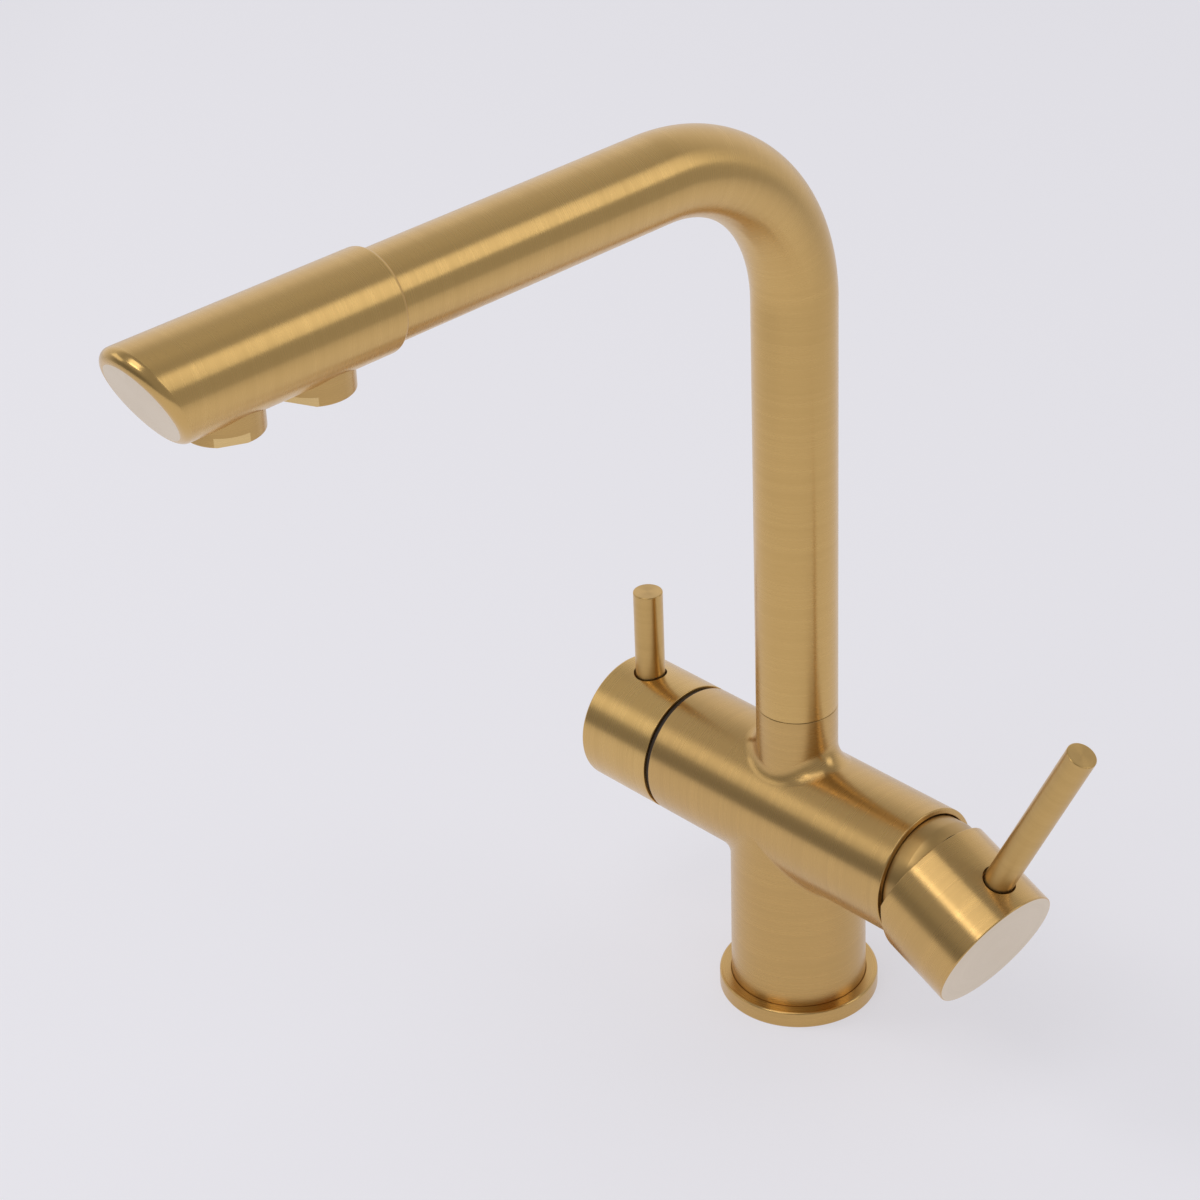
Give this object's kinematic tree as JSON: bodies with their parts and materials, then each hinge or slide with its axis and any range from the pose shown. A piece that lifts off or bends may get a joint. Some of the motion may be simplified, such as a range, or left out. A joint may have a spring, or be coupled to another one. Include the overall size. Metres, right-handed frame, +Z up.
{
  "type": "three way kitchen tap",
  "caption": "Deck-mounted kitchen tap with a swivel spout, a side lever mixer and a separate side knob for filtered water.",
  "frame": {"origin": "centre of the base, on the underside of the flange where it meets the worktop", "axes": "+Z up, -Y towards the front where the spout points, +X towards the mixer handle, -X towards the filter knob"},
  "size_m": [0.206, 0.2854, 0.3462],
  "materials": {
    "brushed_gold": "brushed",
    "raw_brass": "machined",
    "steel": "machined",
    "ceramic": "polished",
    "white_plastic": "moulded",
    "black_rubber": "matte",
    "dark_plastic": "matte"
  },
  "bodies": {
    "tap_body": {"body_casting": "brushed_gold", "base_flange": "brushed_gold", "base_gasket": "black_rubber", "mixer_collar": "brushed_gold", "cartridge_nut": "raw_brass", "cartridge_housing": "white_plastic", "cartridge_base": "white_plastic", "cartridge_port_seals": "black_rubber", "fixed_mixer_disc": "ceramic", "filter_slip_ring": "dark_plastic", "filter_valve_body": "raw_brass", "filter_valve_washer": "black_rubber", "filter_fixed_disc": "ceramic", "spout_bearing_ring": "white_plastic", "spout_lock_screw": "steel", "water_tube_o_ring": "black_rubber"},
    "mixer_carrier": {"cartridge_rotor": "white_plastic", "cartridge_pivot_pin": "steel"},
    "mixer_disc": {"moving_mixer_disc": "ceramic", "disc_carrier": "white_plastic"},
    "mixer_handle": {"cartridge_stem": "steel", "handle_cap": "brushed_gold", "handle_lever": "brushed_gold", "handle_grub_screw": "steel"},
    "filter_handle": {"filter_knob": "brushed_gold", "filter_lever": "brushed_gold", "filter_knob_grub_screw": "steel", "filter_spindle": "raw_brass", "filter_spindle_o_ring": "black_rubber", "filter_spindle_clip": "steel", "filter_moving_disc": "ceramic"},
    "spout": {"spout_stem": "raw_brass", "stem_o_ring_lower": "black_rubber", "stem_o_ring_upper": "black_rubber", "spout_tube": "brushed_gold", "filter_water_tube": "white_plastic", "spout_head": "brushed_gold", "head_o_ring": "black_rubber", "head_water_block": "white_plastic", "mixed_outlet": "brushed_gold", "filter_outlet": "brushed_gold", "mixed_aerator": "white_plastic", "filter_aerator": "white_plastic", "mixed_outlet_washer": "black_rubber", "filter_outlet_washer": "black_rubber"}
  },
  "joints": [
    {"name": "spout_swivel", "type": "hinge", "parent": "tap_body", "child": "spout", "pos_m": [0, 0, 0.1178], "axis": [0, 0, 1], "continuous": true},
    {"name": "mixer_turn", "type": "hinge", "parent": "tap_body", "child": "mixer_carrier", "pos_m": [0.0572, 0, 0.0755], "axis": [1, 0, 0], "range_deg": [-45, 55]},
    {"name": "mixer_tilt", "type": "hinge", "parent": "mixer_carrier", "child": "mixer_handle", "pos_m": [0.0572, 0, 0.0755], "axis": [0, 0.9963, -0.0854], "range_deg": [-23.1, 1.9]},
    {"name": "mixer_disc_slide", "type": "slide", "parent": "mixer_carrier", "child": "mixer_disc", "axis": [0, 0.0854, 0.9963], "range_m": [-0.00535, 0.00045]},
    {"name": "filter_turn", "type": "hinge", "parent": "tap_body", "child": "filter_handle", "pos_m": [-0.0719, 0, 0.0755], "axis": [1, 0, 0], "range_deg": [0, 90]}
  ],
  "couplings": [
    {"joint": "mixer_disc_slide", "follows": "mixer_tilt", "m_per_rad": 0.01324}
  ]
}
